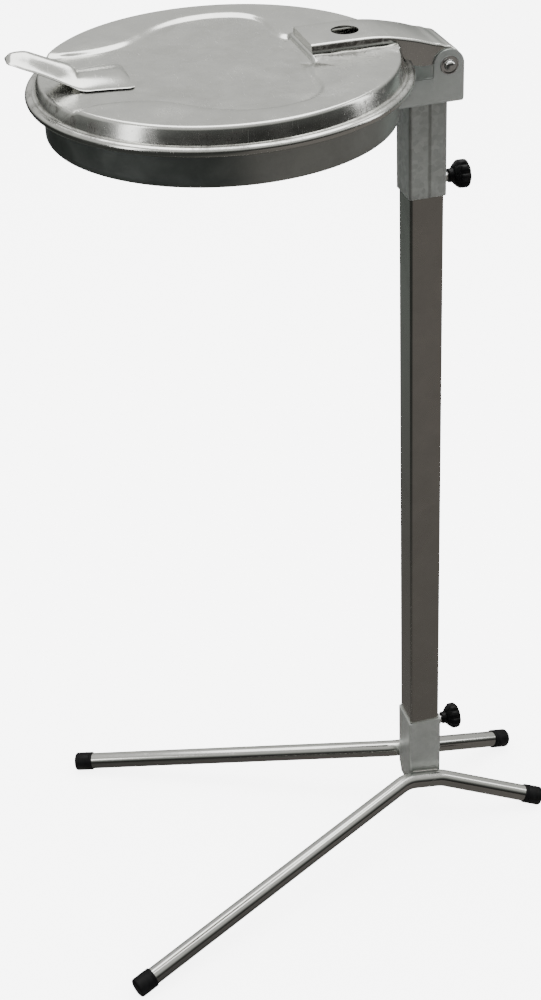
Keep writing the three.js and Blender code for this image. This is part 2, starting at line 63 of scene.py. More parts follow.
POST_LOW, POST_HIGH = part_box("post")
AXIS_Y = (POST_LOW.y + POST_HIGH.y) / 2
RING_LOW, RING_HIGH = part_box("bag_ring")
LID_LOW, LID_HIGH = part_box("lid")
PIN = box_middle("hinge_pin")
LID_Y = ((RING_LOW.y + RING_HIGH.y) / 2 - AXIS_Y) / MM
PIN_Y = (PIN.y - AXIS_Y) / MM
PIN_Z = PIN.z / MM


def at(x, y, z):
    """Point given in millimetres from the post's axis and the floor."""
    return Vector((x * MM, AXIS_Y + y * MM, z * MM))


def ease(low, high, value):
    """Smooth step from 0 at low to 1 at high."""
    t = min(max((value - low) / (high - low), 0), 1)
    return t * t * (3 - 2 * t)


def spline(rows, steps):
    """Rows of numbers with smooth in-between rows, steps to each stretch."""
    made = []
    for k in range(len(rows) - 1):
        a, b = rows[max(k - 1, 0)], rows[k]
        c, d = rows[k + 1], rows[min(k + 2, len(rows) - 1)]
        for s in range(steps):
            t = s / steps
            made.append([
                0.5 * (2 * q + (r - p) * t + (2 * p - 5 * q + 4 * r - u) * t * t
                       + (3 * q - p - 3 * r + u) * t ** 3)
                for p, q, r, u in zip(a, b, c, d)])
    return made + [list(rows[-1])]


# ------------------------------------------------------------------ settings
def length(name, description, default, low, high):
    """A length that the sidebar shows in scene units."""
    return bpy.props.FloatProperty(
        name=name, description=description, default=default, min=low, max=high,
        unit="LENGTH", subtype="DISTANCE", precision=5)


def colour(name, description, default):
    """A surface colour that the sidebar shows as a swatch."""
    return bpy.props.FloatVectorProperty(
        name=name, description=description, default=default, min=0, max=1, size=3,
        subtype="COLOR")


class StandSizes(bpy.types.PropertyGroup):
    lid_sheet: length("Lid sheet", "Thickness of the pressed lid", 0.0012, 0.0006, 0.0015)
    panel_depth: length("Panel depth", "Depth of the lid's pressed panel", 0.004, 0.001, 0.005)
    handle_sheet: length("Handle sheet", "Thickness of the handle strip", 0.0015, 0.0008, 0.002)
    arm_sheet: length("Arm sheet", "Thickness of the hinge arm", 0.002, 0.001, 0.0025)
    weld_size: length("Weld size", "Radius of the weld beads", 0.0011, 0.0005, 0.0014)
    thread_pitch: length("Thread pitch", "Pitch of the clamp screws", 0.00125, 0.0008, 0.0015)


class StandColours(bpy.types.PropertyGroup):
    bright: colour("Bright zinc", "Plating of the lid, handle and arm", (0.67, 0.67, 0.64))
    legs: colour("Leg zinc", "Plating of the leg tubes", (0.5226, 0.5226, 0.4992))
    sheet: colour("Zinc sheet", "Collar and hinge bracket", (0.50, 0.53, 0.51))
    tube: colour("Post zinc", "Square post", (0.47, 0.46, 0.43))
    galvanised: colour("Galvanised tube", "Sleeve and socket", (0.46, 0.48, 0.46))
    polished: colour("Polished steel", "Hinge pin, nuts and screws", (0.74, 0.74, 0.73))
    knob: colour("Knob plastic", "Clamp knobs", (0.0022, 0.0022, 0.0024))
    cap: colour("Cap plastic", "Foot caps and post plug", (0.003, 0.003, 0.0032))


# ------------------------------------------------------------------ shader nodes
class Term:
    """Output of a shader node that takes part in Python arithmetic."""

    def __init__(self, nodes, socket):
        self.nodes = nodes
        self.socket = socket

    def maths(self, operation, *values):
        return self.nodes.add("ShaderNodeMath", values, operation=operation)

    def __add__(self, other):
        return self.maths("ADD", self, other)

    def __radd__(self, other):
        return self.maths("ADD", other, self)

    def __sub__(self, other):
        return self.maths("SUBTRACT", self, other)

    def __rsub__(self, other):
        return self.maths("SUBTRACT", other, self)

    def __mul__(self, other):
        return self.maths("MULTIPLY", self, other)

    def __rmul__(self, other):
        return self.maths("MULTIPLY", other, self)

    def __abs__(self):
        return self.maths("ABSOLUTE", self)

    def step(self, low, high):
        """0 below low, 1 above high, smooth between."""
        return self.nodes.add("ShaderNodeMapRange", (self, low, high, 0.0, 1.0),
                              interpolation_type="SMOOTHSTEP")


class Nodes:
    """Adds nodes to one node tree."""

    def __init__(self, tree):
        self.tree = tree
        tree.nodes.clear()

    def add(self, kind, values=(), output=0, stops=(), **settings):
        made = self.tree.nodes.new(kind)
        for key, setting in settings.items():
            setattr(made, key, setting)
        if stops:
            steps = made.color_ramp.elements
            while len(steps) < len(stops):
                steps.new(1.0)
            for step, (position, shade) in zip(steps, stops):
                step.position = position
                step.color = (*shade, 1)
        pairs = values.items() if isinstance(values, dict) else enumerate(values)
        for key, value in pairs:
            if isinstance(value, Term):
                self.tree.links.new(value.socket, made.inputs[key])
            else:
                made.inputs[key].default_value = value
        return Term(self, made.outputs[output]) if made.outputs else None

    def blend(self, factor, first, second):
        """Colour between two colours."""
        return self.add("ShaderNodeMix", {0: factor, 6: first, 7: second}, output=2,
                        data_type="RGBA")

    def place(self, scale=(1, 1, 1)):
        """Object position, stretched for grain that runs one way."""
        point = self.add("ShaderNodeTexCoord", output="Object")
        return self.add("ShaderNodeMapping", {"Vector": point, "Scale": scale})

    def noise(self, scale, detail=2.0, twist=0.0, stretch=(1, 1, 1)):
        return self.add("ShaderNodeTexNoise", {
            "Vector": self.place(stretch), "Scale": scale, "Detail": detail, "Distortion": twist})

    def axis(self, which):
        """One coordinate of the object position, in metres."""
        point = self.add("ShaderNodeTexCoord", output="Object")
        return self.add("ShaderNodeSeparateXYZ", (point,), output=which)

    def bump(self, height, distance, strength=1.0):
        return self.add("ShaderNodeBump", {
            "Height": height, "Distance": distance, "Strength": strength})


def shade(rgb, share):
    """A colour made darker or lighter by a share, as four numbers."""
    return (*[min(c * share, 1) for c in rgb], 1)


def surface(name, build, **fixed):
    """Material whose varying inputs come from build(nodes), and whose others are fixed numbers."""
    name = "stand_" + name
    made = bpy.data.materials.get(name)
    if made:
        return made
    made = bpy.data.materials.new(name)
    made.use_nodes = True
    nodes = Nodes(made.node_tree)
    values = {**fixed, **build(nodes)}
    shader = nodes.add("ShaderNodeBsdfPrincipled", values)
    nodes.add("ShaderNodeOutputMaterial", (shader,))
    return made


def steel(name, rgb, rough, mottle=0.10, spangle=0.0, wave=0.0, grain=(1, 1, 12), marks_and_painted_shade=None,
          metal=1.0):
    """Plated or galvanised steel: patches, crystal spangle, fine grain, smudges and scratches."""
    def build(nodes):
        patches = nodes.noise(26.0, 3.0, 0.6)
        fine = nodes.noise(900.0, 2.0)
        lines = nodes.noise(260.0, 3.0, 0.0, grain)
        smudge = nodes.noise(11.0, 4.0, 1.4).step(0.52, 0.72)
        stroke = tuple(1 + 9 * (s > 1) for s in grain)
        scratch = nodes.noise(70.0, 1.0, 0.3, stroke).step(0.70, 0.73)
        tone = (patches - 0.5) * mottle * 4 + (fine - 0.5) * mottle + 0.5
        if spangle:
            cell = nodes.add("ShaderNodeTexVoronoi", {
                "Vector": nodes.place(), "Scale": 190.0}, output="Color")
            crystal = nodes.add("ShaderNodeSeparateColor", (cell,))
            tone = tone + (crystal - 0.5) * spangle
        tint = nodes.blend(tone.step(0.0, 1.0), shade(rgb, 0.72), shade(rgb, 1.18))
        roughness = rough + (patches - 0.5) * mottle + smudge * 0.07 + (lines - 0.5) * 0.06
        roughness = roughness + scratch * 0.10
        if marks_and_painted_shade:
            # Darkens toward brown where the mask holds: dark marks, painted shade and painted dark
            # reflection.
            mask = marks_and_painted_shade(nodes)
            tint = nodes.blend(mask, tint, (0.050, 0.042, 0.036, 1))
            roughness = roughness + mask * 0.25
        relief = fine * 0.05 + lines * 0.05 - scratch * 0.10
        swell = nodes.noise(34.0, 2.0, 0.4) * wave
        return {
            "Base Color": tint, "Roughness": roughness,
            "Normal": nodes.bump(relief + swell, 0.0003, 0.5)}
    return surface(name, build, Metallic=metal)


def plastic(name, rgb, rough, texture, dust_height=0.0):
    """Moulded plastic: fine texture, worn patches and a little dust low down."""
    def build(nodes):
        patches = nodes.noise(60.0, 3.0)
        leather = nodes.noise(texture, 2.0)
        speck = nodes.noise(1500.0, 1.0).step(0.62, 0.72)
        worn = nodes.noise(35.0, 4.0, 0.8).step(0.55, 0.75)
        pale = shade([c + 0.003 for c in rgb], 2.0)
        tint = nodes.blend(worn * 0.5 + speck * 0.25, (*rgb, 1), pale)
        if dust_height:
            dust = 1 - nodes.axis(2).step(0.0, dust_height)
            tint = nodes.blend(dust * patches * 0.6, tint, (0.05, 0.047, 0.042, 1))
        return {
            "Base Color": tint, "Roughness": rough + (patches - 0.5) * 0.12 + worn * 0.08,
            "Normal": nodes.bump(leather, 0.00012, 0.45)}
    return surface(name, build, **{"Specular IOR Level": 0.12})


def arm_flange_painted_reflection(nodes):
    """Mask of painted dark brown reflection, mottled, in a band along the arm's side flanges."""
    lip = (BOSS_Z + ARM_GAP) * MM
    side = abs(nodes.axis(0)).step(0.0326, 0.0336)
    low = 1 - nodes.axis(2).step(lip + 0.0072, lip + 0.0088)
    above = nodes.axis(2).step(lip + 0.0015, lip + 0.0035)
    return side * low * above * (nodes.noise(120.0, 4.0, 0.5).step(0.30, 0.62) * 0.55 + 0.30)


def wall_speckle(nodes):
    """Mask of the dark speckle on the lid's wall, between its crest and its rolled rim."""
    height = nodes.axis(2)
    band = height.step((BEAD_Z + 2) * MM, (BEAD_Z + 5) * MM)
    band = band * (1 - height.step((PANEL_Z - 3) * MM, (PANEL_Z + 1) * MM))
    blotch = nodes.noise(38.0, 4.0, 0.8).step(0.44, 0.62)
    spots = nodes.noise(420.0, 3.0, 0.5).step(0.50, 0.66)
    return band * (blotch * 0.45 + spots * blotch * 0.35)


def seam_and_painted_corner_shade(nodes):
    """Mask of the sleeve's welded seam and of a painted dark line of shade along its front corner.
    """
    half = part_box("upper_sleeve")[1].x
    across = nodes.axis(1)
    right = nodes.axis(0)
    seam = 1 - abs(across - (AXIS_Y + 0.0015)).step(0.0008, 0.0026)
    seam = seam * right.step(half - 0.004, half - 0.002) * 0.45
    # The front corner's dark line is painted shade, mottled by noise.
    corner = abs(across - (AXIS_Y - half)) + abs(right - half)
    corner = (1 - corner.step(0.0010, 0.0036)) * (nodes.noise(50.0, 3.0) * 0.5 + 0.45)
    return seam + corner


STEELS = {   # colour, roughness, mottle, spangle, wave, grain, mask of marks and painted shade, metallic
    "bright_zinc": ("bright", 0.20, 0.09, 0.05, 0.55, (1, 12, 1)),
    "lid_zinc": ("bright", 0.20, 0.09, 0.05, 0.55, (1, 12, 1), wall_speckle),
    # arm_zinc carries a painted dark reflection along the arm's flanges
    "arm_zinc": ("bright", 0.22, 0.09, 0.05, 0.45, (1, 12, 1), arm_flange_painted_reflection),
    "leg_zinc": ("legs", 0.13, 0.06, 0.03, 0.12, (1, 1, 1)),
    "zinc_sheet": ("sheet", 0.36, 0.14, 0.06, 0.50, (1, 1, 10)),
    "bracket_zinc": ("sheet", 0.34, 0.10, 0.06, 0.40, (1, 12, 1), None, 0.84),
    "zinc_tube": ("tube", 0.24, 0.08, 0.04, 0.30, (14, 14, 1)),
    "socket_zinc": ("galvanised", 0.34, 0.12, 0.12, 0.35, (1, 1, 12), None, 0.82),
    "galvanised": ("galvanised", 0.50, 0.16, 0.28, 0.35, (1, 1, 1), seam_and_painted_corner_shade, 0.88),
    "pin_steel": ("polished", 0.12, 0.05, 0.0, 0.08, (1, 1, 1)),
    "weld_metal": ("polished", 0.30, 0.25, 0.0, 0.8, (1, 1, 1)),
}
PLASTICS = {   # colour, roughness, texture scale, height of the dust
    "black_plastic": ("knob", 0.26, 700.0),
    "cap_plastic": ("cap", 0.46, 500.0, 0.02),
}


def finish_material(context, kind):
    """One of the stand's materials, made when first asked for."""
    maker, table = (steel, STEELS) if kind in STEELS else (plastic, PLASTICS)
    tint, *values = table[kind]
    return maker(kind, getattr(context.scene.stand_colours, tint), *values)


# ------------------------------------------------------------------ mesh tools
def lathe(mesh, profile, centre, axis, steps=64, closed=False):
    """Turns a profile of (radius, distance along) in millimetres round an axis."""
    out = axis.orthogonal().normalized()
    points = [mesh.verts.new(centre + (out * r + axis * h) * MM) for r, h in profile]
    edges = [mesh.edges.new(pair) for pair in zip(points, points[1:])]
    if closed:
        edges.append(mesh.edges.new((points[-1], points[0])))
    bmesh.ops.spin(mesh, geom=points + edges, cent=centre, axis=axis, angle=TURN, steps=steps,
                   use_merge=True)
    bmesh.ops.remove_doubles(mesh, verts=mesh.verts, dist=1e-7)


def skin(mesh, rings, join=False, fill=True):
    """Extrudes one outline through a row of outlines, then fills its ends or joins them."""
    points = [mesh.verts.new(p) for p in rings[0]]
    first = edges = [mesh.edges.new((points[k - 1], points[k])) for k in range(len(points))]
    for ring in rings[1:]:
        grown = set(bmesh.ops.extrude_edge_only(mesh, edges=edges)["geom"])
        new = []
        for point, place in zip(points, ring):
            twin = next(e.other_vert(point) for e in point.link_edges
                        if e.other_vert(point) in grown)
            twin.co = place
            new.append(twin)
        points = new
        edges = [mesh.edges.get((points[k - 1], points[k])) for k in range(len(points))]
    if join:
        bmesh.ops.bridge_loops(mesh, edges=edges + first)
    elif fill:
        bmesh.ops.contextual_create(mesh, geom=first)
        bmesh.ops.contextual_create(mesh, geom=edges)


def soften(mesh, width, angle=35, segments=2):
    """Rounds every edge that turns by more than an angle."""
    sharp = [e for e in mesh.edges
             if len(e.link_faces) == 2 and e.calc_face_angle(0) > math.radians(angle)]
    bmesh.ops.bevel(mesh, geom=sharp, offset=width * MM, offset_type="OFFSET", segments=segments,
                    profile=0.5, affect="EDGES", material=-1, clamp_overlap=True)


def circle(centre, direction, radius, sides, start=0.0):
    """Ring of points round a direction, radius in millimetres."""
    across = Vector((-direction.y, direction.x, 0))
    across = across.normalized() if across.length > 1e-6 else Vector((1, 0, 0))
    other = direction.cross(across).normalized()
    return [centre + (across * math.cos(a) + other * math.sin(a)) * radius * MM
            for a in (start + TURN * k / sides for k in range(sides))]


def sweep(mesh, points, radius, sides, join=False):
    """Round bar along points; radius is a number or a function of the point's index."""
    rings = []
    last = len(points) - 1
    for k, point in enumerate(points):
        before = points[k - 1] if k or join else points[0]
        after = points[(k + 1) % (last + 1)] if k < last or join else points[last]
        size = radius(k) if callable(radius) else radius
        rings.append(circle(point, (after - before).normalized(), size, sides))
    skin(mesh, rings, join)


def square(half, radius, z, steps=6):
    """Rounded square ring round the post's axis, with a narrow strip beside each corner."""
    ring = []
    for quarter in range(4):
        cx = (half - radius) * (1 if quarter in (0, 3) else -1)
        cy = (half - radius) * (1 if quarter < 2 else -1)
        for k in range(-1, steps + 2):
            a = (quarter + min(max(k, 0), steps) / steps) * TURN / 4
            x, y = cx + radius * math.cos(a), cy + radius * math.sin(a)
            if k < 0 or k > steps:
                back = a - TURN / 4 if k < 0 else a + TURN / 4
                x, y = x + 0.8 * math.cos(back), y + 0.8 * math.sin(back)
            ring.append(at(x, y, z))
    return ring


def make(mesh, name, body, material, slot, *nodes, angle=32, turned=True):
    """Finishes a piece: smooth faces, its material, its body and the nodes it stands for."""
    if turned:
        bmesh.ops.recalc_face_normals(mesh, faces=mesh.faces)
    data = bpy.data.meshes.new(name)
    mesh.to_mesh(data)
    mesh.free()
    data.materials.append(material)
    data.shade_smooth()
    data.set_sharp_from_angle(angle=math.radians(angle))
    piece = bpy.data.objects.new(name, data)
    bpy.context.scene.collection.objects.link(piece)
    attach(piece, body)
    if nodes:
        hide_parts(*nodes)
    return piece


WELD_STEP = 0.6      # from point to point along a weld bead
WELD_RIPPLE = 1.3    # radians of ripple from point to point


def weld(mesh, points, size, join=False):
    """Weld bead with even ripples along a row of points."""
    sweep(mesh, points, lambda k: size * (1 + 0.22 * math.sin(k * WELD_RIPPLE)
                                          + 0.12 * noise.noise(points[k] * 300)), 10, join)


# ------------------------------------------------------------------ lid
PANEL_EDGE = [   # half of the panel's outline, from the lid's centre
    (92, -173), (84, -159), (80, -143), (79, -119), (83, -99), (92, -79), (106, -63), (128, -40),
    (143, -14), (148, 11), (147, 31), (140, 53), (127, 68), (108, 76), (88, 77), (68, 77),
    (50, 81), (40, 91.5)]
PANEL_CURVE = sorted((math.atan2(y, x), math.hypot(x, y)) for x, y in spline(PANEL_EDGE, 6))
LID_R = 205.5
FLAT_R = LID_R - 18
BEAD_R = 5
BEAD_Z = LID_LOW.z / MM + BEAD_R
PANEL_Z = BEAD_Z + 18
BOSS_Z = PANEL_Z + 7.6
SEAT_Y = 91.5
SEAT_HALF = 36
SEAT_SLOPE = 40


def panel_radius(angle):
    """Distance from the lid's centre to the panel's edge at an angle."""
    a = math.atan2(math.sin(angle), abs(math.cos(angle)))
    if a >= PANEL_CURVE[-1][0]:
        return SEAT_Y / math.sin(a)
    if a <= PANEL_CURVE[0][0]:
        return FLAT_R
    k = next(i for i, (b, _) in enumerate(PANEL_CURVE) if b > a)
    (a0, r0), (a1, r1) = PANEL_CURVE[k - 1], PANEL_CURVE[k]
    return r0 + (r1 - r0) * (a - a0) / (a1 - a0)


def seat_height(x, y):
    """Height of the seat pressed under the hinge arm."""
    front = ease(SEAT_Y - 4.2, SEAT_Y - 0.2, y)
    side = min(max((SEAT_HALF + SEAT_SLOPE - abs(x)) / SEAT_SLOPE, 0), 1)
    return PANEL_Z - 0.6 + (BOSS_Z - PANEL_Z + 0.6) * front * side


def lid_profile(angle, depth, sheet):
    """Top, bead and underside of the lid at an angle, as (radius, height) pairs."""
    edge = panel_radius(angle)
    rin = min(edge, FLAT_R - 14)
    a = math.atan2(math.sin(angle), abs(math.cos(angle)))
    opening = PANEL_CURVE[0][0]
    rise = depth * ease(opening - 0.035, opening + 0.035, a)
    top = PANEL_Z + rise
    plan = [(rin * f, 0) for f in (0.02, 0.12, 0.25, 0.4, 0.55, 0.7, 0.82, 0.91, 0.97)]
    plan += [(rin + d, ease(-1.5, 9.2, d)) for d in (-1.5, 0.2, 1.6, 2.9, 4.1, 5.4, 7.0, 9.2)]
    gap = FLAT_R - 0.8 - rin - 9.2
    plan += [(rin + 9.2 + gap * f, 1) for f in (0.3, 0.7, 1.0)]
    over = [(r, PANEL_Z + rise * f) for r, f in plan]
    over += [(FLAT_R + d, top - h) for d, h in (
        (0.3, 0.05), (1.2, 0.28), (2.0, 0.72), (2.7, 1.4), (3.3, 2.3), (4.0, 3.6))]
    rim = LID_R - BEAD_R - 0.3
    over += [(rim - 6.9, BEAD_Z + 10.4), (rim - 5.4, BEAD_Z + 6.6), (rim - 5.0, BEAD_Z + 5.0),
             (rim - 4.8, BEAD_Z + 3.9)]
    turn = [math.radians(150 - 310 * k / 18) for k in range(19)]
    bead = [(rim + BEAD_R * math.cos(t), BEAD_Z + BEAD_R * math.sin(t)) for t in turn]
    inner = BEAD_R - sheet
    back = [(rim + inner * math.cos(t), BEAD_Z + inner * math.sin(t)) for t in reversed(turn[2:])]
    under = [(rim - 6.3, BEAD_Z + 5.2), (FLAT_R + 2.6, top - 3.8 - sheet * 0.3),
             (FLAT_R + 1.2, top - 0.9 - sheet), (FLAT_R - 0.4, top - sheet)]
    under += [(r + 0.4, z - sheet) for r, z in reversed(over[:18])]
    return over + bead + back + under, len(over), len(over) + len(bead) + len(back) + 3


class OBJECT_OT_stand_lid(bpy.types.Operator):
    """Press the lid: outlined panel, seat for the arm, rounded crest, groove and rolled bead"""
    bl_idname = "object.stand_lid"
    bl_label = "Lid"

    def execute(self, context):
        sizes = context.scene.stand_sizes
        sheet = sizes.lid_sheet / MM
        count = 360
        columns = []
        for j in range(count):
            a = TURN * (j + 0.5) / count
            profile, top_end, under_start = lid_profile(a, sizes.panel_depth / MM, sheet)
            column = []
            for k, (r, z) in enumerate(profile):
                x, y = r * math.cos(a), r * math.sin(a)
                if r < FLAT_R + 1.5 and (k < top_end or k >= under_start):
                    drop = 0 if k < top_end else sheet
                    z = max(z, seat_height(x, y) - drop)
                    hollow = ease(FLAT_R - 6, FLAT_R - 40, r)
                    z += 0.22 * hollow * noise.noise(Vector((x / 70, y / 70, 0)))
                    nub = math.hypot(x - 84, y - 160)
                    z += 0.9 * (1 - ease(1.2, 4.0, nub))
                column.append(at(x, LID_Y + y, z))
            columns.append(column)
        mesh = bmesh.new()
        skin(mesh, [list(ring) for ring in zip(*columns)])
        make(mesh, "lid_pressing", "lid", finish_material(context, "lid_zinc"), "bright_zinc",
             "lid", angle=50)
        return {"FINISHED"}


HANDLE = [   # y, height of the edges, half width, crown height
    (-447, 1141.5, 8, 0.4), (-445, 1141.8, 13.5, 4), (-440, 1141, 18, 8.5),
    (-431, 1137, 20.5, 12.5), (-420, 1132, 21.3, 12.8), (-404, 1123.5, 21.5, 13.5),
    (-395, 1118.5, 22, 14.5), (-388, 1115, 24, 14.5), (-382, 1112.6, 28, 12.5),
    (-377, 1111.3, 32, 9), (-371, 1110.9, 35, 6.8), (-360, 1110.9, 36.5, 5.6),
    (-345, 1110.9, 39, 5), (-330, 1110.9, 42, 3.5), (-324, 1110.9, 40, 0.6),
]

class OBJECT_OT_stand_handle(bpy.types.Operator):
    """Form the lid's handle: a raised strip with a rounded rib, welded to the panel"""
    bl_idname = "object.stand_handle"
    bl_label = "Handle"

    def execute(self, context):
        thick = context.scene.stand_sizes.handle_sheet / MM
        rows = spline(HANDLE, 6)
        rings = []
        for k, (y, z, half, rib) in enumerate(rows):
            before, after = rows[max(k - 1, 0)], rows[min(k + 1, len(rows) - 1)]
            along = Vector((0, after[0] - before[0], after[1] - before[1])).normalized()
            up = Vector((0, -along.z, along.y))
            line = []
            for i in range(25):
                x = half * math.sin((i / 24 - 0.5) * math.pi)
                round_off = 0.5 * ease(half - 1.6, half, abs(x))
                bulge = rib * (1 - ease(0.08 * half, 0.93 * half, abs(x)))
                line.append((x, bulge, round_off))
            ring = [(x, h - cut) for x, h, cut in line]
            ring += [(x, h - thick + cut) for x, h, cut in reversed(line)]
            rings.append([at(x, y + up.y * h, z + up.z * h) for x, h in ring])
        mesh = bmesh.new()
        skin(mesh, rings)
        make(mesh, "handle_strip", "lid", finish_material(context, "bright_zinc"), "bright_zinc",
             "handle", angle=60)
        return {"FINISHED"}


# ------------------------------------------------------------------ hinge
ARM_TOP = BOSS_Z + 9.9
ARM_HOLE_R = 15
ARM_HOLE_Y = -87
CHEEK_OUT = 37
CHEEK_T = 2.5
CHEEK_TOP = 1072
EAR_R = 17.2
BRACKET_BEND = 8
ARM_GAP = 0.4        # from the lid's seat to the arm's lip
ARM_BEND = 3.5       # outer bend radius of the arm


def polar(degrees, r):
    """Point round the hinge pin, as (y, z)."""
    a = math.radians(degrees)
    return PIN_Y + r * math.cos(a), PIN_Z + r * math.sin(a)


def arm_ring(row, half, sheet):
    """Channel section of the arm: a top point, a bottom point and its lip's flare."""
    ty, tz, by, bz, flare = row
    up = Vector((ty - by, tz - bz))
    tall = up.length
    up = up / tall
    flare = max(flare, 0)
    outer = [(half + flare, 0), (half + flare * 0.9, 0.9), (half + flare * 0.35, 2.2), (half, 4.0)]
    inner = [(x - sheet, t + 0.5 * flare / sheet) for x, t in outer]
    for k in range(7):
        a = TURN / 4 * k / 6
        for side, r in ((outer, ARM_BEND), (inner, ARM_BEND - sheet)):
            side.append((half - ARM_BEND + r * math.cos(a), tall - ARM_BEND + r * math.sin(a)))
    ring = outer + [(-x, t) for x, t in reversed(outer)]
    ring += [(-x, t) for x, t in inner] + list(reversed(inner))
    return [at(x, by + up.x * t, bz + up.y * t) for x, t in ring]


class OBJECT_OT_stand_arm(bpy.types.Operator):
    """Fold the hinge arm: a channel over the lid that wraps round the hinge pin, with its hole"""
    bl_idname = "object.stand_arm"
    bl_label = "Hinge arm"

    def execute(self, context):
        sheet = context.scene.stand_sizes.arm_sheet / MM
        half = CHEEK_OUT - CHEEK_T - 0.7
        lip = BOSS_Z + ARM_GAP
        front = LID_Y + SEAT_Y
        back = LID_Y + FLAT_R
        rows = [
            (front, ARM_TOP, front, lip, 1.4), (front + 60, ARM_TOP - 0.2, front + 60, lip, 1.6),
            (back - 14, ARM_TOP - 2, back - 14, lip, 1.9),
            (back - 2, ARM_TOP - 4.2, back - 1, lip - 4, 1.2),
            (back + 10, ARM_TOP - 6.9, back + 5, lip - 18, 0.5),
            (back + 21, ARM_TOP - 9.8, back + 13, lip - 26, 0.1),
            (back + 30, ARM_TOP - 12.7, back + 25, lip - 30, 0),
            (PIN_Y - 15.5, PIN_Z + 24.9, PIN_Y - 17, PIN_Z + 2, 0)]
        rows += [polar(a, r) + polar(b, s) + (0,) for a, r, b, s in (
            (109, 24.5, 150, 8), (95, 20.7, 110, 5.8), (78, 19.6, 78, 5.4), (60, 18.2, 60, 5.4),
            (35, 17.3, 35, 5.4), (10, 17, 10, 5.4), (-20, 17, -20, 5.4))]
        mesh = bmesh.new()
        skin(mesh, [arm_ring(row, half, sheet) for row in spline(rows, 4)])
        nose = []
        for sink, height in ((0.3, lip), (0.3, ARM_TOP - 5), (0.55, ARM_TOP - 2.6),
                             (1.5, ARM_TOP - 0.9)):
            inset = max(height - ARM_TOP + 4.6, 0) * 0.55
            nose.append([at(x, front + y, height) for x, y in (
                (half - inset, sink), (half - inset, sink + sheet),
                (inset - half, sink + sheet), (inset - half, sink))])
        skin(mesh, nose)
        arm = make(mesh, "arm_channel", "lid", finish_material(context, "arm_zinc"),
                   "bright_zinc", "hinge_arm", angle=40)
        drill = bmesh.new()
        bmesh.ops.create_cone(drill, segments=96, radius1=ARM_HOLE_R * MM, radius2=ARM_HOLE_R * MM,
                              depth=0.012, cap_ends=True)
        bmesh.ops.translate(drill, vec=at(0, ARM_HOLE_Y, ARM_TOP), verts=drill.verts)
        cutter = bpy.data.objects.new("drill", bpy.data.meshes.new("drill"))
        drill.to_mesh(cutter.data)
        drill.free()
        context.scene.collection.objects.link(cutter)
        cut = arm.modifiers.new("hole", "BOOLEAN")
        cut.object = cutter
        cut.operation = "DIFFERENCE"
        cut.solver = "EXACT"
        done = bpy.data.meshes.new_from_object(
            arm.evaluated_get(context.evaluated_depsgraph_get()))
        arm.modifiers.clear()
        arm.data = done
        bpy.data.objects.remove(cutter)
        return {"FINISHED"}


def bracket_ring(y, high, low, steps=7):
    """U section of the bracket at a station, up to its own cheek height."""
    bend = BRACKET_BEND
    outer, inner = [(CHEEK_OUT, high)], [(CHEEK_OUT - CHEEK_T, high)]
    for k in range(steps):
        a = TURN / 4 * k / (steps - 1)
        outer.append((CHEEK_OUT - bend + bend * math.cos(a), low + bend - bend * math.sin(a)))
        small = bend - CHEEK_T
        inner.append((CHEEK_OUT - bend + small * math.cos(a), low + bend - small * math.sin(a)))
    ring = outer + [(-x, z) for x, z in reversed(outer)]
    ring += [(-x, z) for x, z in inner] + list(reversed(inner))
    return [at(x, y, z) for x, z in ring]


class OBJECT_OT_stand_bracket(bpy.types.Operator):
    """Fold the hinge bracket: a channel whose cheeks rise to round ears, and its weld"""
    bl_idname = "object.stand_bracket"
    bl_label = "Hinge bracket"

    def execute(self, context):
        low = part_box("hinge_bracket")[0]
        front = (low.y - AXIS_Y) / MM
        floor = low.z / MM
        ear = PIN_Y - EAR_R
        rows = [(front, CHEEK_TOP), ((front + ear) / 2, CHEEK_TOP), (ear - 4, CHEEK_TOP)]
        rows += [(ear - 2.6 + 2.4 * math.sin(t), CHEEK_TOP + 2.6 - 2.6 * math.cos(t))
                 for t in (0.5, 0.9, 1.25)]
        rows += [(ear - 0.1, CHEEK_TOP + 5)]
        rows += [(PIN_Y - EAR_R * math.cos(t), PIN_Z + EAR_R * math.sin(t))
                 for t in (math.pi * k / 40 for k in range(41))]
        mesh = bmesh.new()
        skin(mesh, [bracket_ring(y, z, floor) for y, z in rows])
        bmesh.ops.recalc_face_normals(mesh, faces=mesh.faces)
        soften(mesh, 0.5, 50)
        make(mesh, "bracket_channel", "head", finish_material(context, "bracket_zinc"),
             "zinc_sheet", "hinge_bracket", angle=40)
        mesh = bmesh.new()
        size = context.scene.stand_sizes.weld_size / MM
        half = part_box("upper_sleeve")[1].x / MM
        ring = square(half + 0.2, 3, floor - size - 0.25, 8)
        path = []
        for k, point in enumerate(ring):
            after = ring[(k + 1) % len(ring)]
            parts = max(int((after - point).length / (WELD_STEP * MM)), 1)
            path += [point.lerp(after, i / parts) for i in range(parts)]
        weld(mesh, path, size, True)
        make(mesh, "sleeve_weld", "head", finish_material(context, "weld_metal"), "zinc_sheet")
        return {"FINISHED"}


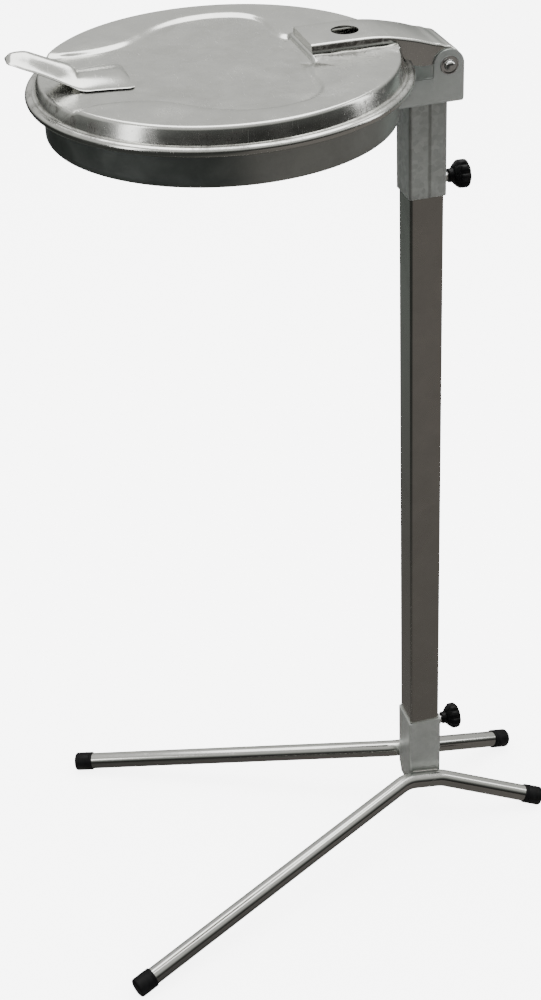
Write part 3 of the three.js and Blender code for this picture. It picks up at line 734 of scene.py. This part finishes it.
class OBJECT_OT_stand_pin_caps(bpy.types.Operator):
    """Turn the two pin heads: a dished washer round a polished dome"""
    bl_idname = "object.stand_pin_caps"
    bl_label = "Pin heads"

    def execute(self, context):
        for side, word in ((1, "right"), (-1, "left")):
            low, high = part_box(f"pin_cap_{word}")
            start = low.x if side > 0 else high.x
            dome = [(5.7 * math.cos(t), 2.6 + 3.6 * math.sin(t))
                    for t in (TURN / 4 * k / 12 for k in range(13))]
            profile = [(5.3, 0), (10.0, 0), (10.35, 0.3), (10.3, 0.75), (9.9, 1.0), (9.3, 1.0),
                       (8.6, 0.7), (7.4, 0.55), (6.2, 0.6), (5.8, 1.2)] + dome + [
                           (0, 3.4), (5.3, 3.4), (5.3, 0)]
            mesh = bmesh.new()
            lathe(mesh, profile, Vector((start, PIN.y, PIN.z)), Vector((side, 0, 0)), 64)
            make(mesh, f"pin_head_{word}", "head", finish_material(context, "pin_steel"),
                 "pin_steel", f"pin_cap_{word}", angle=45)
        return {"FINISHED"}


# ------------------------------------------------------------------ collar, tubes
class OBJECT_OT_stand_collar(bpy.types.Operator):
    """Roll the collar that the sack hangs over, with eased edges and its butt weld"""
    bl_idname = "object.stand_collar"
    bl_label = "Collar"

    def execute(self, context):
        radius = RING_HIGH.x / MM
        low, high = RING_LOW.z / MM, RING_HIGH.z / MM
        centre = at(0, LID_Y, 0)
        outer = [(radius - 0.35, low), (radius - 0.1, low + 0.1), (radius, low + 0.4)]
        outer += [(radius, low + (high - low) * k / 8) for k in range(1, 8)]
        outer += [(radius, high - 0.4), (radius - 0.1, high - 0.1), (radius - 0.35, high)]
        inner = [(radius - 1.5 + (radius - r), z) for r, z in reversed(outer)]
        mesh = bmesh.new()
        lathe(mesh, outer + inner, centre, Vector((0, 0, 1)), 288, True)
        make(mesh, "collar", "head", finish_material(context, "zinc_sheet"), "zinc_sheet",
             "bag_ring", angle=40)
        mesh = bmesh.new()
        x = CHEEK_OUT - CHEEK_T + 0.4
        y = (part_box("hinge_bracket")[0].y - AXIS_Y) / MM + 0.2
        for side in (1, -1):
            path = [at(side * (x + 2.2), y - 1.4, low + 2 + WELD_STEP * k)
                    for k in range(int((CHEEK_TOP - 2 - low) / WELD_STEP))]
            weld(mesh, path, 1.0)
        make(mesh, "collar_weld", "head", finish_material(context, "weld_metal"), "zinc_sheet")
        return {"FINISHED"}


TUBE_WALL = 2.0
TUBE_CORNER = 3.0


def tube(mesh, levels):
    """Square tube through levels of (height, half width)."""
    corner = TUBE_CORNER - TUBE_WALL
    outer = [square(h, TUBE_CORNER, z) for z, h in levels]
    inner = [square(h - TUBE_WALL, corner, z) for z, h in reversed(levels)]
    skin(mesh, outer + inner, join=True)


class OBJECT_OT_stand_tubes(bpy.types.Operator):
    """Cut the square tubes: the post, the upper sleeve, and the lower socket with its crimp"""
    bl_idname = "object.stand_tubes"
    bl_label = "Square tubes"

    def execute(self, context):
        mesh = bmesh.new()
        low, high = POST_LOW.z / MM, POST_HIGH.z / MM
        half = POST_HIGH.x / MM
        levels = [(low, half - 0.3), (low + 0.3, half), (low + 1.2, half)]
        tube(mesh, levels + [(high - 1.2, half), (high - 0.3, half), (high, half - 0.3)])
        make(mesh, "post_tube", "post", finish_material(context, "zinc_tube"), "zinc_tube",
             "post", angle=30)
        for name, node, body, kind in (
                ("sleeve_tube", "upper_sleeve", "head", "galvanised"),
                ("socket_tube", "base_socket", "base", "socket_zinc")):
            low, high = (v.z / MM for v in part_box(node))
            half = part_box(node)[1].x / MM
            if node == "base_socket":
                levels = [(low, half - 2.2), (low + 0.4, half - 2), (low + 12, half - 1.0),
                          (low + 18, half - 0.08), (low + 22, half), (low + 26, half)]
            else:
                levels = [(low, half - 0.3), (low + 0.4, half), (low + 1.4, half)]
            levels += [(high - 1.4, half), (high - 0.4, half), (high, half - 0.3)]
            mesh = bmesh.new()
            tube(mesh, levels)
            make(mesh, name, body, finish_material(context, kind), "zinc_tube", node, angle=30)
        return {"FINISHED"}


# ------------------------------------------------------------------ legs and feet
LEG_R = 11
CAP_R = 12.6
CAP_LEN = 25
LEG_FRONT = (211, -450)
LEG_REAR = (62, 155)
LEG_HIGH = (69.5, 61)
LEG_BEND_Y = (-29.8, 19.4)
LEG_BEND = 45
LEG_WELD_Z = 65.2    # height of a leg beside the post's axis
LEG_SLOPE = 0.17     # fall of a leg beside the socket
CAP_EDGE = ((CAP_R - 2.5, 0), (CAP_R - 0.8, 0.9), (CAP_R, 2.8))


def rest_height(end, high, bend_x, bend_y):
    """Height of a cap's end centre whose lowest point touches the floor."""
    slope = math.atan2(high - CAP_R, math.hypot(end[0] - bend_x, end[1] - bend_y))
    return max(r * math.cos(slope) - a * math.sin(slope) for r, a in CAP_EDGE)


def leg_line(side):
    """Centre line of a leg, its two ends and the directions there, in millimetres."""
    bend_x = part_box("base_socket")[1].x / MM + 0.3 + LEG_R
    ends = [rest_height(end, high, bend_x, y)
            for end, high, y in zip((LEG_FRONT, LEG_REAR), LEG_HIGH, LEG_BEND_Y)]
    corners = [Vector((side * LEG_FRONT[0], LEG_FRONT[1], ends[0])),
               Vector((side * bend_x, LEG_BEND_Y[0], LEG_HIGH[0])),
               Vector((side * bend_x, LEG_BEND_Y[1], LEG_HIGH[1])),
               Vector((side * LEG_REAR[0], LEG_REAR[1], ends[1]))]
    first = (corners[1] - corners[0]).normalized()
    last = (corners[3] - corners[2]).normalized()
    line = [corners[0] + first * 3.5]
    for k in (1, 2):
        a = (corners[k] - corners[k - 1]).normalized()
        b = (corners[k + 1] - corners[k]).normalized()
        turn = a.angle(b)
        start = corners[k] - a * LEG_BEND * math.tan(turn / 2)
        inward = (b - a * a.dot(b)).normalized()
        line += [start + inward * LEG_BEND * (1 - math.cos(turn * i / 12))
                 + a * LEG_BEND * math.sin(turn * i / 12) for i in range(13)]
    return line + [corners[3] - last * 3.5], corners, first, last


class OBJECT_OT_stand_legs(bpy.types.Operator):
    """Bend the two leg tubes, push their four caps on and weld them to the socket"""
    bl_idname = "object.stand_legs"
    bl_label = "Legs and caps"

    def execute(self, context):
        cap = [(0, 0), (CAP_R - 3.4, 0), (CAP_R - 2.2, 0.12), (CAP_R - 1.2, 0.55),
               (CAP_R - 0.5, 1.3), (CAP_R - 0.12, 2.2), (CAP_R, 3.2), (CAP_R, 19.6),
               (CAP_R - 0.3, 20.1), (CAP_R - 0.3, 20.9), (CAP_R, 21.4), (CAP_R, 24.0),
               (CAP_R - 0.25, 24.7), (CAP_R - 0.8, CAP_LEN), (LEG_R + 0.1, CAP_LEN),
               (LEG_R + 0.1, 3), (0, 3)]
        welds = bmesh.new()
        for side, word in ((1, "right"), (-1, "left")):
            line, corners, first, last = leg_line(side)
            mesh = bmesh.new()
            sweep(mesh, [at(*p) for p in line], LEG_R, 48)
            make(mesh, f"leg_bar_{word}", "base", finish_material(context, "leg_zinc"),
                 "bright_zinc", f"leg_tube_{word}", angle=40)
            for end, point, inward in (("front", corners[0], first), ("rear", corners[3], -last)):
                mesh = bmesh.new()
                lathe(mesh, cap, at(*point), inward, 72)
                make(mesh, f"cap_{end}_{word}", "base", finish_material(context, "cap_plastic"),
                     "cap_plastic", f"foot_cap_{end}_{word}", angle=50)
            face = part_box("base_socket")[1].x / MM
            for rise in (4.6, -4.6):
                path = [at(side * (face + 0.75), y, LEG_WELD_Z - y * LEG_SLOPE + rise)
                        for y in (-18 + WELD_STEP * k for k in range(61))]
                weld(welds, path, 0.9)
        make(welds, "leg_welds", "base", finish_material(context, "zinc_tube"), "bright_zinc")
        return {"FINISHED"}


# ------------------------------------------------------------------ clamps
KNOB_R = 17
LOBE_DEPTH = 2.6     # of the flutes round a knob
NUT_HALF = 6.5       # half of a nut's width over its flats


class OBJECT_OT_stand_clamps(bpy.types.Operator):
    """Make the two height clamps: star knob, threaded screw and welded nut"""
    bl_idname = "object.stand_clamps"
    bl_label = "Clamps"

    def execute(self, context):
        for word, body in (("upper", "head"), ("lower", "base")):
            self.knob(context, word)
            self.screw(context, word)
            self.nut(context, word, body)
        return {"FINISHED"}

    def knob(self, context, word):
        """Knob with eight shallow flutes on a short hub, its end face dished."""
        hub = Vector((0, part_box(f"knob_{word}")[0].y, box_middle(f"knob_{word}").z))
        levels = ((0.55, 6.0), (0.62, 6.6), (0.72, 8.2), (0.83, 10.2), (0.92, 11.9), (0.97, 13.2),
                  (1, 14.8), (1, 19.2), (0.99, 20.6), (0.95, 22.2), (0.88, 23.4), (0.79, 24.2),
                  (0.68, 24.6), (0.58, 24.4), (0.50, 23.9), (0.2, 23.7))
        rings = []
        for share, y in levels:
            ring = []
            for k in range(132):
                a = TURN * k / 132
                wave = abs(math.cos(4 * a))
                r = (KNOB_R - LOBE_DEPTH * (1 - wave) ** 1.6 * share ** 3) * share
                ring.append(hub + Vector((r * math.cos(a), y, r * math.sin(a))) * MM)
            rings.append(ring)
        mesh = bmesh.new()
        skin(mesh, rings)
        lathe(mesh, [(4.3, 0), (7.2, 0), (7.8, 0.3), (8, 0.9), (8.2, 4), (8.6, 7), (9.6, 8.4),
                     (9.6, 10), (4.3, 10)], hub, Vector((0, 1, 0)), 64, True)
        make(mesh, f"star_knob_{word}", f"{word}_knob", finish_material(context, "black_plastic"),
             "black_plastic", f"knob_{word}", angle=55)

    def screw(self, context, word):
        """Threaded rod from the post into the knob."""
        low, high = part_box(f"clamp_screw_{word}")
        pitch = context.scene.stand_sizes.thread_pitch / MM
        middle = box_middle(f"clamp_screw_{word}")
        along = Vector((0, 1, 0))
        start = Vector((0, low.y + 1.0 * MM, middle.z))
        turns = int(((high.y - low.y) / MM - 1.2) / pitch) - 1
        mesh = bmesh.new()
        points = [mesh.verts.new(start + Vector((0, h * pitch, r)) * MM) for r, h in (
            (3.35, 0), (3.35, 0.12), (3.95, 0.46), (3.95, 0.58), (3.35, 0.9), (3.35, 1))]
        edges = [mesh.edges.new(pair) for pair in zip(points, points[1:])]
        bmesh.ops.spin(mesh, geom=points + edges, cent=start, axis=along, angle=TURN * turns,
                       steps=28 * turns, dvec=along * pitch * MM / 28)
        bmesh.ops.remove_doubles(mesh, verts=mesh.verts, dist=2e-6)
        lathe(mesh, [(0, 0), (2.6, 0), (3.36, 0.9), (3.36, (turns + 1) * pitch + 0.9),
                     (0, (turns + 1) * pitch + 0.9)], Vector((0, low.y, middle.z)), along, 28)
        make(mesh, f"clamp_rod_{word}", f"{word}_screw", finish_material(context, "pin_steel"),
             "pin_steel", f"clamp_screw_{word}", angle=40)

    def nut(self, context, word, body):
        """Hexagon nut with chamfered faces."""
        low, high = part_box(f"clamp_nut_{word}")
        middle = box_middle(f"clamp_nut_{word}")
        thick = (high.y - low.y) / MM

        def ring(limit, y):
            made = []
            for k in range(96):
                a = TURN * k / 96
                hexagon = NUT_HALF / math.cos((a + TURN / 12) % (TURN / 6) - TURN / 12)
                r = min(hexagon, limit)
                made.append(Vector((r * math.cos(a), y, r * math.sin(a))) * MM
                            + Vector((0, low.y, middle.z)))
            return made
        mesh = bmesh.new()
        skin(mesh, [ring(4.2, 0), ring(6.6, 0), ring(7.1, 0.25), ring(9, 0.8),
                    ring(9, thick - 0.8), ring(7.1, thick - 0.25), ring(6.6, thick),
                    ring(4.6, thick), ring(4.2, thick - 0.4)], join=True)
        make(mesh, f"hex_nut_{word}", body, finish_material(context, "pin_steel"), "pin_steel",
             f"clamp_nut_{word}", angle=28)


class OBJECT_OT_stand_kept(bpy.types.Operator):
    """Give the frame's own pin and post plug their finishes"""
    bl_idname = "object.stand_kept"
    bl_label = "Pin and plug"

    def execute(self, context):
        for node, kind in (("hinge_pin", "pin_steel"), ("post_plug", "cap_plastic")):
            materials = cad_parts[node].data.materials
            materials.clear()
            materials.append(finish_material(context, kind))
        return {"FINISHED"}


# ------------------------------------------------------------------ stage
class SCENE_OT_stand_stage(bpy.types.Operator):
    """Set the pale floor, the soft studio light and the camera"""
    bl_idname = "scene.stand_stage"
    bl_label = "Stage"

    def execute(self, context):
        self.floor(context)
        self.surroundings(context)
        for name, place, aim, wide, tall, watts in (
                ("overhead_softbox", (-0.5, 0.2, 3.0), (0, 0, 0.6), 2.6, 2.0, 70),
                ("front_strip", (0.9, -2.3, 1.9), (0, -0.1, 0.9), 0.5, 1.6, 12),
                ("rear_strip", (0.5, 2.4, 2.0), (0, 0.1, 0.9), 0.6, 1.6, 12)):
            self.softbox(context, name, place, aim, wide, tall, watts)
        self.camera(context)
        return {"FINISHED"}

    def floor(self, context):
        mesh = bmesh.new()
        bmesh.ops.create_grid(mesh, x_segments=1, y_segments=1, size=12)
        data = bpy.data.meshes.new("floor")
        mesh.to_mesh(data)
        mesh.free()
        floor = bpy.data.objects.new("floor", data)
        context.scene.collection.objects.link(floor)
        floor.location.z = -0.0005
        pale = bpy.data.materials.new("pale_floor")
        pale.use_nodes = True
        nodes = Nodes(pale.node_tree)
        pale_face = nodes.add("ShaderNodeBsdfDiffuse", {"Color": (0.97, 0.97, 0.968, 1)})
        # Glossy rays see the floor glow in painted reflection colours of a dim hall: dark to
        # brownish grey on the camera's side, dark to teal-grey beyond the stand.
        away = (0 - nodes.axis(0)).step(0.2, 2.6)
        side = nodes.axis(1).step(-0.8, 0.6)
        near = nodes.blend(side, (0.050, 0.053, 0.050, 1), (0.215, 0.200, 0.188, 1))
        left = nodes.axis(1).step(-0.8, -0.35)
        far = nodes.blend(left, (0.020, 0.022, 0.020, 1), (0.34, 0.385, 0.36, 1))
        painted_hall_reflection = nodes.blend(away, near, far)
        painted_reflection_glow = nodes.add("ShaderNodeEmission", {"Color": painted_hall_reflection})
        glossy = nodes.add("ShaderNodeLightPath", output="Is Glossy Ray")
        seen = nodes.add("ShaderNodeLightPath", output="Is Camera Ray")
        lift = nodes.add("ShaderNodeEmission", {"Color": (1, 1, 1, 1), "Strength": seen * 5.0})
        lit_face = nodes.add("ShaderNodeAddShader", (pale_face, lift))
        both = nodes.add("ShaderNodeMixShader", (glossy, lit_face, painted_reflection_glow))
        nodes.add("ShaderNodeOutputMaterial", (both,))
        data.materials.append(pale)

    def surroundings(self, context):
        world = bpy.data.worlds.new("studio")
        context.scene.world = world
        world.use_nodes = True
        nodes = Nodes(world.node_tree)
        way = nodes.add("ShaderNodeTexCoord", output="Generated")
        height = nodes.add("ShaderNodeSeparateXYZ", (way,), output=2)
        right = nodes.add("ShaderNodeSeparateXYZ", (way,), output=0)
        level = height - right * 0.30
        sky = nodes.add("ShaderNodeValToRGB", (level * 0.5 + 0.5,), stops=(
            (0.0, (0.020, 0.020, 0.019)), (0.46, (0.030, 0.030, 0.028)),
            (0.56, (0.10, 0.105, 0.10)), (0.66, (0.42, 0.43, 0.41)), (0.76, (0.80, 0.805, 0.78)),
            (0.86, (0.84, 0.845, 0.82)), (0.95, (1.0, 1.0, 0.98)), (1.0, (1.1, 1.1, 1.08))))
        fill = nodes.add("ShaderNodeLightPath", output="Is Diffuse Ray")
        seen = nodes.add("ShaderNodeLightPath", output="Is Camera Ray")
        both = nodes.blend(fill, sky, (1.9, 1.9, 1.9, 1))
        both = nodes.blend(seen, both, (6.0, 6.0, 6.0, 1))
        glow = nodes.add("ShaderNodeBackground", {"Color": both, "Strength": 1.0})
        nodes.add("ShaderNodeOutputWorld", (glow,))

    def softbox(self, context, name, place, aim, wide, tall, watts):
        lamp = bpy.data.lights.new(name, "AREA")
        lamp.shape = "RECTANGLE"
        lamp.size, lamp.size_y = wide, tall
        lamp.energy = watts
        made = bpy.data.objects.new(name, lamp)
        made.location = place
        made.rotation_euler = (Vector(aim) - Vector(place)).to_track_quat("-Z", "Y").to_euler()
        context.scene.collection.objects.link(made)

    def camera(self, context):
        turn, dip, lean = (math.radians(a) for a in (75.572, 29.591, -2.846))
        away = Vector((-math.sin(turn) * math.cos(dip), math.cos(turn) * math.cos(dip),
                       -math.sin(dip)))
        right = Vector((math.cos(turn), math.sin(turn), 0))
        up = right.cross(away)
        level_right = right * math.cos(lean) + up * math.sin(lean)
        level_up = up * math.cos(lean) - right * math.sin(lean)
        lens = bpy.data.cameras.new("camera")
        lens.lens = 59.63
        lens.sensor_width = 36
        lens.shift_x = 0.0044
        lens.shift_y = -0.1368
        camera = bpy.data.objects.new("camera", lens)
        pose = Matrix((level_right, level_up, -away)).transposed().to_4x4()
        pose.translation = Vector((1.6208, -0.608 + AXIS_Y, 1.6903))
        camera.matrix_world = pose
        context.scene.collection.objects.link(camera)
        context.scene.camera = camera


PIECES = (OBJECT_OT_stand_lid, OBJECT_OT_stand_handle, OBJECT_OT_stand_arm,
          OBJECT_OT_stand_bracket, OBJECT_OT_stand_pin_caps, OBJECT_OT_stand_collar,
          OBJECT_OT_stand_tubes, OBJECT_OT_stand_legs, OBJECT_OT_stand_clamps,
          OBJECT_OT_stand_kept)


class VIEW3D_PT_sack_stand(bpy.types.Panel):
    """Sizes, colours and steps of the sack stand"""
    bl_idname = "VIEW3D_PT_sack_stand"
    bl_label = "Sack stand"
    bl_space_type = "VIEW_3D"
    bl_region_type = "UI"
    bl_category = "Sack stand"

    def draw(self, context):
        layout = self.layout
        for group in (context.scene.stand_sizes, context.scene.stand_colours):
            for name in group.__annotations__:
                layout.prop(group, name)
        layout.operator(SCENE_OT_stand_stage.bl_idname)
        for piece in PIECES:
            layout.operator(piece.bl_idname)


CLASSES = (StandSizes, StandColours, SCENE_OT_stand_stage, *PIECES, VIEW3D_PT_sack_stand)


def register():
    for item in CLASSES:
        bpy.utils.register_class(item)
    bpy.types.Scene.stand_sizes = bpy.props.PointerProperty(type=StandSizes)
    bpy.types.Scene.stand_colours = bpy.props.PointerProperty(type=StandColours)


def unregister():
    del bpy.types.Scene.stand_colours
    del bpy.types.Scene.stand_sizes
    for item in reversed(CLASSES):
        bpy.utils.unregister_class(item)


def main():
    register()
    bpy.ops.scene.stand_stage()
    bpy.ops.object.stand_lid()
    bpy.ops.object.stand_handle()
    bpy.ops.object.stand_arm()
    bpy.ops.object.stand_bracket()
    bpy.ops.object.stand_pin_caps()
    bpy.ops.object.stand_collar()
    bpy.ops.object.stand_tubes()
    bpy.ops.object.stand_legs()
    bpy.ops.object.stand_clamps()
    bpy.ops.object.stand_kept()


if __name__ == "__main__":
    main()
